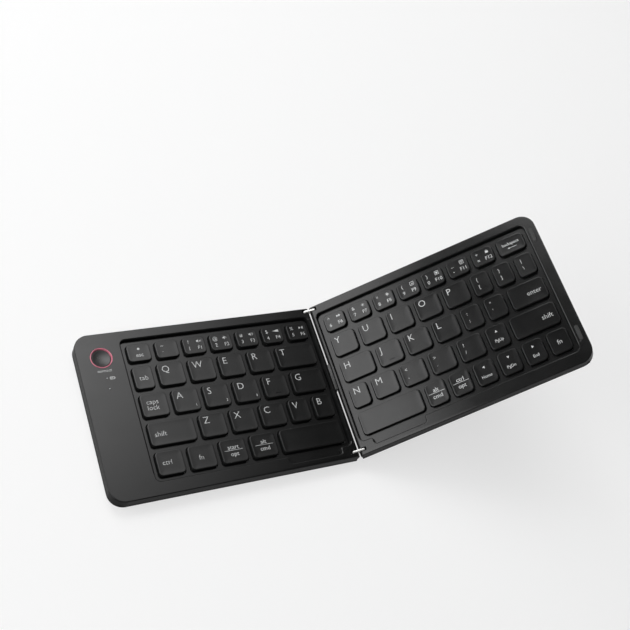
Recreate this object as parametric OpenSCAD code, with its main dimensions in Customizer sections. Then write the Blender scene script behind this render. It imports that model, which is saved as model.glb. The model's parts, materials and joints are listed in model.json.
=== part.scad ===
// Folding pocket keyboard: two slim halves on a double-axis hinge, drawn part folded.
// x runs from the left half to the right half, y from front to back, z up. All sizes in mm.

/* [Case] */
// Width of one half, from the middle of the hinge to its outer edge
half_w = 144.5; // [144.5:0.5:150]
// Depth of the case, front to back
depth = 98; // [98:0.5:100]
// Thickness of one half, without its feet
body_t = 8.15; // [8.15:0.05:9]
// Radius of the outer corners, seen from above
corner_r = 8.5; // [6:0.5:12]
// Height of the bottom shell's outer edge
edge_h = 2.2; // [1.5:0.1:2.4]
// Width and height of the slope under the outer edges
under_slope = 0.8; // [0.5:0.1:1.4]
// Height that the feet stand out below the case
foot_h = 0.5; // [0.4:0.1:1]
// Height that the bumper pads stand out above the rim
pad_proud = 0.25; // [0.1:0.05:0.3]

/* [Hinge] */
// Fold between the two halves as drawn, 0 is flat
fold_deg = 38; // [0:1:60]
// Distance between the two hinge axes
axis_gap = 5.2; // [5.2:0.1:5.6]
// Radius of the rolled inner edges around their hinge axis
edge_r = 2.25; // [2:0.05:2.3]
// Length of a link bar over its round ends
link_len = 7.6; // [7.4:0.1:8.6]
// Width of a link bar along the hinge
link_w = 1.6; // [1.4:0.1:2]
// Diameter of a hinge shaft
shaft_d = 1.6; // [1.2:0.1:1.6]

/* [Keys] */
// Width of a letter key
unit_w = 15; // [14:0.1:15]
// Gap between neighbouring keys
key_gap = 3; // [3:0.1:3.4]
// Front-to-back size of the keys in the four lower rows
key_d = 14; // [13.6:0.1:14]
// Front-to-back size of the keys in the number row
number_d = 10.8; // [10:0.1:10.8]
// Depth of the key deck below the rim
recess = 2.4; // [2.2:0.1:2.6]
// Travel of a key
key_travel = 1.2; // [0.8:0.1:1.2]
// Running gap between a key and its window in the deck
window_gap = 0.35; // [0.2:0.05:0.45]

/* [Round button] */
// Outer diameter of the coloured ring
ring_d = 12.3; // [11:0.1:13]
// Depth of the button's edge below the top of the case
button_drop = 0.5; // [0.1:0.1:0.6]
// Travel of the round button
button_travel = 0.35; // [0.2:0.05:0.4]

/* [Hidden] */
$fn = 48;
eps = 0.01;

// Clearances: between fixed parts, round the barrels, beside the link bars, under and round
// parts that sit in a pocket, round the shafts; and how far a cut runs past its face
fit = 0.1;
turn_gap = 0.15;
bar_gap = 0.25;
seat = 0.3;
shaft_fit = 0.03;
past = 1;

// Heights of one half lying flat
base_z = foot_h;
top_z = foot_h + body_t;
deck_z = top_z - recess;
deck_t = 1;
key_top_z = top_z - fit;
cap_h = recess + 0.4;
cap_z = key_top_z - cap_h;
cap_roof = 0.9;
floor_t = 1.2;
floor_z = base_z + floor_t;
part_z = base_z + edge_h + fit;
sheet_z = cap_z - key_travel - seat;
sheet_t = 0.4;
plate_t = 0.5;
sheet_in = 2.6;
plate_z = sheet_z - sheet_t - plate_t;
skin_t = 1.4;
wall_t = 1.6;

// Hinge: axes at u = axis_u from the middle, at height axis_z
axis_u = axis_gap / 2;
axis_z = top_z - edge_r;
edge_u = axis_u - edge_r;
rail_u = 3.4;
block_u = 10.2;
link_over = (link_len - axis_gap) / 2;
link_top = edge_r - bar_gap;
link_end_r = 0.6;
slot_u = axis_u + norm([link_over, link_top]) + seat;
slot_z = axis_z - link_over - seat;
link_y = [3.2, depth - 2];
link_dir = [1, -1];
barrel_r = 1.35;
barrel_l = 2.3;
barrel_y = [link_w / 2 + bar_gap, link_w / 2 + barrel_l];
tab_u = [6.3, 9.4];
tab_t = 0.8;
tab_past = 0.2;
tab_z = axis_z - barrel_r;
hinge_screw_u = 7.9;
hinge_screw_y = 1.3;
sleeve_y = [42.2, 59.2];
sleeve_t = 0.54;
sleeve_z = [axis_z - 1.6, axis_z + 1.9];
sleeve_slit = [axis_z - 0.5, axis_z + 0.3];
sleeve_end = 2;

// Key deck, measured outwards from the hinge
deck_y = [7.7, 92.2];
deck_out = [119, 137.9];
deck_r = 3;
thumb_u = [10.8, 43];
thumb_y = 3.5;
thumb_r = 1.6;
ledge = 1.2;
block_y = [deck_y[0] - fit, deck_y[1] + fit];

// Key rows, front to back positions and widths from left to right
row_pitch = key_d + key_gap;
row_y = [for (i = [4:-1:0]) 10.1 + i * row_pitch];
left_x = -116.5;
left_w = 110.5;
right_x = 6.8;
right_w = 128.5;
wide_g = 20.5;
wide_t = 24.5;
left_shift_w = 26;
arrow_w = 12;
tall_w = (right_w - 5 * unit_w - 7 * key_gap) / 3;
left_rows = [
    [for (i = [0:6]) (left_w - 6 * key_gap) / 7],
    [left_w - 4 * unit_w - wide_t - 5 * key_gap, for (i = [0:3]) unit_w, wide_t],
    [for (i = [0:4]) (left_w - wide_g - 5 * key_gap) / 5, wide_g],
    [left_shift_w, for (i = [0:2]) unit_w,
        for (i = [0:1]) (left_w - left_shift_w - 3 * unit_w - 5 * key_gap) / 2],
    [for (i = [0:3]) unit_w, left_w - 4 * unit_w - 4 * key_gap]
];
backspace_w = 16.5;
h_w = 20;
quote_w = 11.8;
n_w = 11;
right_rows = [
    [for (i = [0:6]) (right_w - backspace_w - 7 * key_gap) / 7, backspace_w],
    [for (i = [0:4]) unit_w, for (i = [0:2]) tall_w],
    [h_w, for (i = [0:2]) unit_w, for (i = [0:1]) quote_w,
        right_w - h_w - 3 * unit_w - 2 * quote_w - 6 * key_gap],
    [n_w, for (i = [0:3]) unit_w, arrow_w, right_w - n_w - 4 * unit_w - arrow_w - 6 * key_gap],
    [right_w - 6 * arrow_w - 6 * key_gap, for (i = [0:5]) arrow_w]
];
cap_r = 2.4;
cap_wall = 1;
dome_h = 1.6;
dome_r = [2.1, 1.3];
guide_t = 0.7;
guide_w = [8.2, 6.2];
guide_in = [3.2, 5.2];
guide_bar = [0.8, 0.6];

// Round button, indicators, battery and socket in the plain strip of the left half
button_u = 131.2;
button_y = 83;
button_r = ring_d / 2 - 0.95;
button_low = 2.1;
switch_size = [6, 6, 1.2];
plunger_r = 1.5;
ring_proud = 0.2;
collar = 0.6;
collar_z = top_z - skin_t - turn_gap - collar;
dish_r = 36;
dish_depth = 0.35;
led_u = 130.8;
led_y = [70.6, 64.2];
led_r = 0.45;
strip_u = deck_out[0] + 1.6;
battery_size = [20, 50, 4];
battery_y = 8;
board_y = 60;
board_t = 0.9;
board_top = plate_z + board_t;
plunger_h = max(switch_size[2], collar_z - button_travel - seat - board_top);
chip_at = [136.5, 65.5];
socket_u = 131.2;
socket_w = 8.94;
socket_h = 3.16;
socket_l = 7.3;
tongue = [6.6, 5, 0.7];
socket_z = plate_z + 1.9;

// Feet, screws and pads
foot_u = [7.5, 134];
foot_y = [14, depth - 14];
foot_l = 14;
foot_w = 5;
screw_r = 0.75;
head_r = 1.5;
head_h = 0.8;
drive = [1.8, 0.3, 0.4];
post_r = 1.9;
boss_r = 2.5;
hinge_boss_r = 1.6;
base_wall = wall_t + 1;
screw_top_z = deck_z + 0.3;
left_posts = [[58, 4.1], [100, 4.1], [30, 95], [75, 95], [112, 95], [137.5, 5], [138.5, 91.5]];
right_posts = [[58, 4.1], [100, 4.1], [132, 4.1], [30, 95], [75, 95], [125, 95]];
pad_size = [2.4, 9.5];
pad_u = half_w - 3.6;
pad_y = [17.3, depth - 14.3];
pad_in = 0.5;
magnet_size = [2.6, 8, 1.8];
magnet_skin = 0.8;

// The drawn object stands on the left half's feet, centred over its outline
half_fold = fold_deg / 2;
far_u = half_w - axis_u;
far_z = axis_z - part_z;
right_axis_x = -axis_u + axis_gap * cos(half_fold);
right_end_x = right_axis_x + far_u * cos(fold_deg) + far_z * sin(fold_deg);
mid_x = (right_end_x - half_w) / 2;

// ---- Poses of the three rigid groups ----
module at_left() {
    translate([-mid_x, -depth / 2, 0]) children();
}
module turn_about(x, deg) {
    translate([x, 0, axis_z]) rotate([0, -deg, 0]) translate([-x, 0, -axis_z]) children();
}
module at_link() {
    at_left() turn_about(-axis_u, half_fold) children();
}
module at_right() {
    at_link() turn_about(axis_u, half_fold) children();
}
// Turns a shape drawn outwards from the hinge into the left half
module as_left() {
    at_left() mirror([1, 0, 0]) children();
}

// ---- Shared shapes, drawn outwards (u) from the hinge ----
module rounded(size, r) {
    translate([r, 0]) square([size[0] - 2 * r, size[1]]);
    translate([0, r]) square([size[0], size[1] - 2 * r]);
    for (x = [r, size[0] - r], y = [r, size[1] - r]) translate([x, y]) circle(r);
}
module slab(u0, y0, u1, y1, z0, z1) {
    translate([u0, y0, z0]) cube([u1 - u0, y1 - y0, z1 - z0]);
}
// Outline of one half, square at the hinge and round at the outer corners
module outline(inset, inner) {
    w = half_w - inset;
    r = max(corner_r - inset, 0.5);
    translate([inner, inset]) square([w - r - inner, depth - 2 * inset]);
    translate([w - r - eps, inset + r]) square([r + eps, depth - 2 * inset - 2 * r]);
    for (y = [inset + r, depth - inset - r]) translate([w - r, y]) circle(r);
}
module recess_outline(out, grow) {
    translate([rail_u - grow, deck_y[0] - grow])
        rounded([out - rail_u + 2 * grow, deck_y[1] - deck_y[0] + 2 * grow], deck_r);
    thumb_l = thumb_u[1] - thumb_u[0] + 2 * grow;
    translate([thumb_u[0] - grow, thumb_y - grow])
        rounded([thumb_l, deck_y[0] - thumb_y + 2 * thumb_r], thumb_r);
    translate([thumb_u[0] - grow, deck_y[0] - grow]) {
        thumb_fillet(-1);
        translate([thumb_l, 0]) thumb_fillet(1);
    }
}
// Rounds the inner corner where the thumb recess runs into the key field
module thumb_fillet(side) {
    difference() {
        translate([side > 0 ? -eps : -thumb_r, -thumb_r]) square([thumb_r + eps, thumb_r + eps]);
        translate([side * thumb_r, -thumb_r]) circle(thumb_r);
    }
}
module posts(list, r, z0, z1) {
    for (p = list) translate([p[0], p[1], z0]) cylinder(r = r, h = z1 - z0);
}
function hinge_screw(i) = [hinge_screw_u, link_y[i] + link_dir[i] * hinge_screw_y];
hinge_posts = [for (i = [0:1]) hinge_screw(i)];
module along_y(u, z, y0, y1) {
    translate([u, max(y0, y1), z]) rotate([90, 0, 0])
        linear_extrude(abs(y1 - y0)) children();
}

// Bottom shell: floor, sloped outer edge, screw bosses with counterbores
module base_shell(list) {
    difference() {
        union() {
            difference() {
                hull() {
                    translate([0, 0, base_z]) linear_extrude(eps)
                        outline(under_slope, edge_u, $fn = 32);
                    translate([0, 0, base_z + under_slope])
                        linear_extrude(part_z - base_z - under_slope)
                            outline(0, edge_u, $fn = 32);
                }
                translate([0, 0, floor_z]) linear_extrude(body_t)
                    outline(base_wall, edge_u + wall_t);
            }
            posts(list, boss_r, base_z + seat, part_z);
            posts(hinge_posts, hinge_boss_r, base_z + seat, tab_z);
        }
        for (s = [list, hinge_posts]) {
            posts(s, screw_r + fit, base_z - past, body_t);
            posts(s, head_r + fit, base_z - past, base_z + head_h + fit);
        }
        for (u = foot_u, y = foot_y)
            translate([u - foot_w / 2, y - foot_l / 2, base_z - past])
                linear_extrude(past + seat) rounded([foot_w, foot_l], foot_w / 2 - fit / 2);
    }
}

// Upper shell: rim, rolled hinge edge, hinge blocks and screw posts
module rim_shell(out, list, strip_in) {
    difference() {
        union() {
            difference() {
                intersection() {
                    translate([0, 0, part_z]) linear_extrude(top_z - part_z) outline(0, edge_u);
                    along_y(0, 0, -1, depth + 1) {
                        translate([axis_u, 0]) square([half_w, top_z]);
                        square([half_w, axis_z]);
                        translate([axis_u, axis_z]) circle(edge_r);
                    }
                }
                translate([0, 0, part_z - past]) linear_extrude(body_t + 2 * past)
                    recess_outline(out, 0);
                difference() {
                    translate([0, 0, part_z - past]) linear_extrude(deck_z - part_z + past)
                        outline(wall_t, rail_u);
                    linear_extrude(top_z) end_blocks(0);
                }
                if (strip_in < half_w)
                    translate([0, 0, part_z - past])
                        linear_extrude(top_z - skin_t - part_z + past)
                            intersection() {
                                outline(wall_t, rail_u);
                                translate([strip_in, 0]) square([half_w, depth]);
                            }
            }
            intersection() {
                posts(list, post_r, part_z, top_z - skin_t + eps);
                translate([0, 0, part_z]) linear_extrude(body_t) outline(0.5, edge_u);
            }
        }
        for (s = [list, hinge_posts])
            posts(s, screw_r + eps, part_z - past, screw_top_z + 2 * fit);
        hinge_cuts();
        slab(-past, sleeve_y[0] + sleeve_end, rail_u + past, sleeve_y[1] - sleeve_end,
            sleeve_slit[0], sleeve_slit[1]);
    }
}
// Room for the link bars, the shafts and the brackets
module hinge_cuts() {
    for (i = [0:1]) {
        d = link_dir[i];
        y = link_y[i];
        slab(-past, y - link_w / 2 - bar_gap, slot_u, y + link_w / 2 + bar_gap,
            slot_z, top_z + past);
        along_y(axis_u, axis_z, y, y + d * (barrel_y[1] + turn_gap)) circle(barrel_r + turn_gap);
        bracket_room(y, d);
        posts([hinge_screw(i)], hinge_boss_r + 2 * fit, part_z - past, tab_z + eps);
    }
}
module bracket_room(y, d) {
    end = y + d * (barrel_y[1] + turn_gap);
    neck = y + d * (barrel_y[0] - fit);
    wide = y - d * (tab_past + fit);
    z = [tab_z - fit, tab_z + tab_t + fit / 2];
    slab(axis_u - 4 * fit, min(neck, end), tab_u[1] + 2 * fit, max(neck, end), z[0], z[1]);
    slab(tab_u[0] - 2 * fit, min(wide, end), tab_u[1] + 2 * fit, max(wide, end), z[0], z[1]);
}

// Deck: plate under the rim with one window for each key
module deck_plate(out, list) {
    difference() {
        translate([0, 0, deck_z - deck_t]) linear_extrude(deck_t - 2 * eps)
            difference() {
                intersection() {
                    recess_outline(out, ledge);
                    outline(wall_t + 2 * fit, rail_u + fit);
                }
                end_blocks(fit);
            }
        posts(list, post_r + seat, 0, top_z);
    }
}
// Plan of the solid blocks that hold the hinge brackets, grown by g
module end_blocks(g) {
    for (y = [[-past, block_y[0] + g], [block_y[1] - g, depth + past]])
        translate([-past, y[0]]) square([block_u + past + g, y[1] - y[0]]);
}
module windows(rows, x0) {
    for (r = [0:4], i = [0:len(rows[r]) - 1])
        translate([key_x(rows[r], i, x0) - window_gap, row_y[r] - window_gap, 0])
            linear_extrude(top_z)
                rounded([rows[r][i] + 2 * window_gap, row_d(r) + 2 * window_gap],
                    cap_r + window_gap);
}
function sum_to(v, n, i = 0) = i >= n ? 0 : v[i] + sum_to(v, n, i + 1);
function key_x(row, i, x0) = x0 + sum_to(row, i) + i * key_gap;
function row_d(r) = r == 0 ? number_d : key_d;

// Sheet that fills the inside of a half under the deck, cut short by trim at its outer end
module inner_sheet(out, list, z, t, trim) {
    difference() {
        translate([0, 0, z]) linear_extrude(t)
            difference() {
                translate([rail_u + 2 * seat, sheet_in])
                    square([out - rail_u - trim - 2 * seat, depth - 2 * sheet_in]);
                end_blocks(4 * fit);
            }
        posts(list, post_r + 4 * fit, 0, top_z);
    }
}

// One key cap, hollow underneath
module cap(w, d) {
    difference() {
        linear_extrude(cap_h) rounded([w, d], cap_r);
        translate([cap_wall, cap_wall, -eps]) linear_extrude(cap_h - cap_roof)
            rounded([w - 2 * cap_wall, d - 2 * cap_wall], cap_r - cap_wall);
    }
}
module caps(rows, x0, r, first, last) {
    for (i = [first:last])
        translate([key_x(rows[r], i, x0), row_y[r], cap_z]) cap(rows[r][i], row_d(r));
}
// Spring dome under the middle of each key, shown pressed
module domes(rows, x0) {
    for (r = [0:4], i = [0:len(rows[r]) - 1])
        translate([key_x(rows[r], i, x0) + rows[r][i] / 2, row_y[r] + row_d(r) / 2, sheet_z])
            cylinder(h = dome_h, r1 = dome_r[0], r2 = dome_r[1], $fn = 24);
}
// Scissor guide under each key, shown folded: a frame and, inside it, a smaller frame
module scissors(rows, x0) {
    for (r = [0:4], i = [0:len(rows[r]) - 1])
        translate([key_x(rows[r], i, x0) + rows[r][i] / 2, row_y[r] + row_d(r) / 2, sheet_z]) {
            frame(guide_w[0], row_d(r) - guide_in[0], guide_bar[0]);
            frame(guide_w[1], row_d(r) - guide_in[1], guide_bar[1]);
        }
}
module frame(w, d, t) {
    linear_extrude(guide_t) difference() {
        square([w, d], center = true);
        square([w - 2 * t, d - 2 * t], center = true);
    }
}

// Screw with a countersunk-flat head
module screws(list) {
    for (p = list) translate([p[0], p[1], base_z]) {
        difference() {
            cylinder(r = head_r, h = head_h);
            for (a = [0, 90]) rotate(a)
                translate([-drive[0] / 2, -drive[1] / 2, -eps]) cube(drive);
        }
        translate([0, 0, head_h - eps]) cylinder(r = screw_r, h = screw_top_z - base_z - head_h);
    }
}
module feet() {
    for (u = foot_u, y = foot_y)
        translate([u - foot_w / 2 + fit, y - foot_l / 2 + fit, 0])
            linear_extrude(foot_h + seat)
                rounded([foot_w - 2 * fit, foot_l - 2 * fit], foot_w / 2 - 1.5 * fit);
}
// Friction bracket: a barrel round the shaft and a tab screwed under the rim
module brackets() {
    for (i = [0:1]) {
        d = link_dir[i];
        y = link_y[i];
        difference() {
            union() {
                along_y(axis_u, axis_z, y + d * barrel_y[0], y + d * barrel_y[1])
                    circle(barrel_r);
                bracket_tab(y, d);
            }
            along_y(axis_u, axis_z, y, y + d * (barrel_y[1] + past)) circle(shaft_d / 2 + shaft_fit);
            posts([hinge_screw(i)], screw_r + fit, 0, top_z);
        }
    }
}
module bracket_tab(y, d) {
    end = y + d * barrel_y[1];
    neck = y + d * barrel_y[0];
    wide = y - d * tab_past;
    slab(axis_u, min(neck, end), tab_u[1], max(neck, end), tab_z, tab_z + tab_t);
    slab(tab_u[0], min(wide, end), tab_u[1], max(wide, end), tab_z, tab_z + tab_t);
}

// ---- Left half ----
module left_base() color("#26282a") as_left() base_shell(left_posts);
module left_rim() color("#4a4d4c") as_left() difference() {
    rim_shell(deck_out[0], left_posts, strip_u);
    translate([button_u, button_y, part_z]) cylinder(d = ring_d, h = body_t);
    for (y = led_y) translate([led_u, y, part_z]) cylinder(r = led_r + 2 * eps, h = body_t);
    socket_shape(fit, depth - wall_t - past, depth + past);
}
module left_deck() color("#424544") as_left() difference() {
    deck_plate(deck_out[0], left_posts);
    mirror([1, 0, 0]) windows(left_rows, left_x);
}
module left_backplate() color("#b4b7b9") as_left()
    inner_sheet(deck_out[0], left_posts, plate_z, plate_t, 0);
module left_membrane() color("#c9c7b4") as_left()
    inner_sheet(deck_out[0], left_posts, plate_z + plate_t, sheet_t, 2 * seat);
module left_domes() color("#d8d8d2") at_left() domes(left_rows, left_x);
module left_scissors() color("#e4e2da") at_left() scissors(left_rows, left_x);

// Board in the strip with the button's switch, two lamps and the controller
module main_board() color("#1f5c38") as_left() difference() {
    union() {
        translate([strip_u + 4 * fit, board_y, plate_z])
            cube([half_w - strip_u - base_wall, depth - board_y - sheet_in, board_t]);
        on_board(button_u, button_y, switch_size);
        translate([button_u, button_y, board_top]) cylinder(r = plunger_r, h = plunger_h);
        for (y = led_y) on_board(led_u, y, [1.6, 1, 0.6]);
        on_board(chip_at[0], chip_at[1], [5, 5, 0.9]);
    }
    posts(left_posts, post_r + 4 * fit, 0, top_z);
    translate([socket_u - socket_w / 2 - seat, depth - socket_l - 4 * fit, 0])
        cube([socket_w + 2 * seat, corner_r, top_z]);
    translate([half_w - 6.5, depth - 9, 0]) cube([corner_r, corner_r, top_z]);
}
// Component on the board, centred at u and y
module on_board(u, y, size) {
    translate([u - size[0] / 2, y - size[1] / 2, board_top - eps]) cube(size);
}
module battery() color("#8f9396") as_left()
    translate([strip_u + 8 * fit, battery_y, floor_z + fit / 2]) cube(battery_size);
// Charging socket in the back edge: outer shape of the shell, grown by g
module socket_shape(g, y0, y1) {
    along_y(socket_u, socket_z, y0, y1) {
        r = socket_h / 2 + g;
        square([socket_w - socket_h, 2 * r], center = true);
        for (s = [-1, 1]) translate([s * (socket_w - socket_h) / 2, 0]) circle(r);
    }
}
module charge_socket() color("#a9acae") as_left() {
    difference() {
        socket_shape(0, depth - socket_l, depth - seat);
        socket_shape(-seat, depth - socket_l + past, depth + past);
    }
    translate([socket_u - tongue[0] / 2, depth - socket_l + past - fit, socket_z - tongue[2] / 2])
        cube(tongue);
}
module button_ring() color("#e0566a") as_left() translate([button_u, button_y, 0]) difference() {
    translate([0, 0, top_z - skin_t]) cylinder(d = ring_d - 4 * eps, h = skin_t + ring_proud);
    cylinder(r = button_r + fit, h = top_z + past);
}
module connect_button() color("#2b2528") as_left() translate([button_u, button_y, 0])
    difference() {
        union() {
            translate([0, 0, top_z - button_low])
                cylinder(r = button_r, h = button_low - button_drop);
            translate([0, 0, collar_z]) cylinder(r = button_r + collar, h = collar);
        }
        translate([0, 0, top_z - button_drop - dish_depth + dish_r]) sphere(r = dish_r, $fn = 96);
    }
module indicator_lenses() color("#dfe4e6") as_left() for (y = led_y)
    translate([led_u, y, board_top + 0.7]) cylinder(r = led_r, h = top_z - board_top - 0.75);
module left_feet() color("#17181a") as_left() feet();
module left_screws() color("#8e9194") as_left() screws(concat(left_posts, hinge_posts));
module left_hinge_brackets() color("#9b9ea1") as_left() brackets();

// ---- Link between the two axes ----
module link_bar(i) {
    difference() {
        along_y(0, axis_z, link_y[i] - link_w / 2, link_y[i] + link_w / 2) {
            for (s = [-1, 1]) translate([s * axis_u, 0]) circle(link_over);
            translate([-axis_u, -link_over]) square([axis_gap, 2 * link_over]);
            translate([-link_len / 2, 0]) square([link_len, link_top - link_end_r]);
            translate([-link_len / 2 + link_end_r, 0])
                square([link_len - 2 * link_end_r, link_top]);
            for (s = [-1, 1])
                translate([s * (link_len / 2 - link_end_r), link_top - link_end_r])
                    circle(link_end_r);
        }
        for (s = [-1, 1]) along_y(s * axis_u, axis_z, 0, depth) circle(shaft_d / 2);
    }
}
module back_link_bar() color("#d9dbdc") at_link() link_bar(1);
module front_link_bar() color("#d9dbdc") at_link() link_bar(0);
module hinge_shafts() color("#c2c4c6") at_link() for (i = [0:1], s = [-1, 1])
    along_y(s * axis_u, axis_z, link_y[i] - link_dir[i] * link_w / 2,
        link_y[i] + link_dir[i] * barrel_y[1]) circle(shaft_d / 2);
module flex_sleeve() color("#3a3c3b") at_link()
    slab(-sleeve_t / 2, sleeve_y[0], sleeve_t / 2, sleeve_y[1], sleeve_z[0], sleeve_z[1]);

// ---- Right half ----
module right_base() color("#26282a") at_right() base_shell(right_posts);
module right_rim() color("#3c3f3e") at_right() difference() {
    rim_shell(deck_out[1], right_posts, half_w + 1);
    for (y = pad_y) translate([pad_u - pad_size[0] / 2, y - pad_size[1] / 2, top_z - pad_in])
        linear_extrude(2 * pad_in) rounded(pad_size, pad_size[0] / 2 - eps);
    translate([pad_u - magnet_size[0] / 2, depth / 2 - magnet_size[1] / 2, part_z - past])
        cube([magnet_size[0], magnet_size[1], top_z - magnet_skin - part_z + past]);
}
module right_deck() color("#3a3d3c") at_right() difference() {
    deck_plate(deck_out[1], right_posts);
    windows(right_rows, right_x);
}
module right_backplate() color("#b4b7b9") at_right()
    inner_sheet(deck_out[1], right_posts, plate_z, plate_t, 0);
module right_membrane() color("#c9c7b4") at_right()
    inner_sheet(deck_out[1], right_posts, plate_z + plate_t, sheet_t, 2 * seat);
module right_domes() color("#d8d8d2") at_right() domes(right_rows, right_x);
module right_scissors() color("#e4e2da") at_right() scissors(right_rows, right_x);
module right_feet() color("#17181a") at_right() feet();
module right_screws() color("#8e9194") at_right() screws(concat(right_posts, hinge_posts));
module right_hinge_brackets() color("#9b9ea1") at_right() brackets();
module bumper_pads() color("#6f7271") at_right() for (y = pad_y)
    translate([pad_u - (pad_size[0] - fit) / 2, y - (pad_size[1] - fit) / 2, top_z - pad_in])
        linear_extrude(pad_in + pad_proud)
            rounded([pad_size[0] - fit, pad_size[1] - fit], (pad_size[0] - fit) / 2 - eps);
module wake_magnet() color("#b9bcbe") at_right()
    translate([pad_u - (magnet_size[0] - fit) / 2, (depth - magnet_size[1] + fit) / 2,
        top_z - magnet_skin - fit / 2 - magnet_size[2]])
        cube([magnet_size[0] - fit, magnet_size[1] - fit, magnet_size[2]]);

// ---- Keys of the left half: row, first and last key from the left ----
module left_caps(r, first, last) color("#4b4e4d") at_left()
    caps(left_rows, left_x, r, first, last);
module esc_key() left_caps(0, 0, 0);
module left_number_keys() left_caps(0, 1, 6);
module tab_key() left_caps(1, 0, 0);
module qwert_keys() left_caps(1, 1, 5);
module caps_lock_key() left_caps(2, 0, 0);
module asdfg_keys() left_caps(2, 1, 5);
module left_shift_key() left_caps(3, 0, 0);
module zxcvb_keys() left_caps(3, 1, 5);
module left_ctrl_key() left_caps(4, 0, 0);
module left_fn_key() left_caps(4, 1, 1);
module left_option_key() left_caps(4, 2, 2);
module left_alt_key() left_caps(4, 3, 3);
module left_space_key() left_caps(4, 4, 4);

// ---- Keys of the right half ----
module right_caps(r, first, last) color("#474a49") at_right()
    caps(right_rows, right_x, r, first, last);
module right_number_keys() right_caps(0, 0, 6);
module backspace_key() right_caps(0, 7, 7);
module yuiop_keys() right_caps(1, 0, 7);
module hjkl_keys() right_caps(2, 0, 5);
module enter_key() right_caps(2, 6, 6);
module nm_keys() right_caps(3, 0, 4);
module up_key() right_caps(3, 5, 5);
module right_shift_key() right_caps(3, 6, 6);
module right_space_key() right_caps(4, 0, 0);
module right_alt_key() right_caps(4, 1, 1);
module right_ctrl_key() right_caps(4, 2, 2);
module left_arrow_key() right_caps(4, 3, 3);
module down_arrow_key() right_caps(4, 4, 4);
module right_arrow_key() right_caps(4, 5, 5);
module right_fn_key() right_caps(4, 6, 6);

left_base();
left_rim();
left_deck();
left_backplate();
left_membrane();
left_domes();
left_scissors();
main_board();
battery();
charge_socket();
button_ring();
indicator_lenses();
left_feet();
left_screws();
left_hinge_brackets();
connect_button();
back_link_bar();
front_link_bar();
hinge_shafts();
flex_sleeve();
right_base();
right_rim();
right_deck();
right_backplate();
right_membrane();
right_domes();
right_scissors();
right_feet();
right_screws();
right_hinge_brackets();
bumper_pads();
wake_magnet();
esc_key();
left_number_keys();
tab_key();
qwert_keys();
caps_lock_key();
asdfg_keys();
left_shift_key();
zxcvb_keys();
left_ctrl_key();
left_fn_key();
left_option_key();
left_alt_key();
left_space_key();
right_number_keys();
backspace_key();
yuiop_keys();
hjkl_keys();
enter_key();
nm_keys();
up_key();
right_shift_key();
right_space_key();
right_alt_key();
right_ctrl_key();
left_arrow_key();
down_arrow_key();
right_arrow_key();
right_fn_key();
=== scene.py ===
import json
import math

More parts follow.
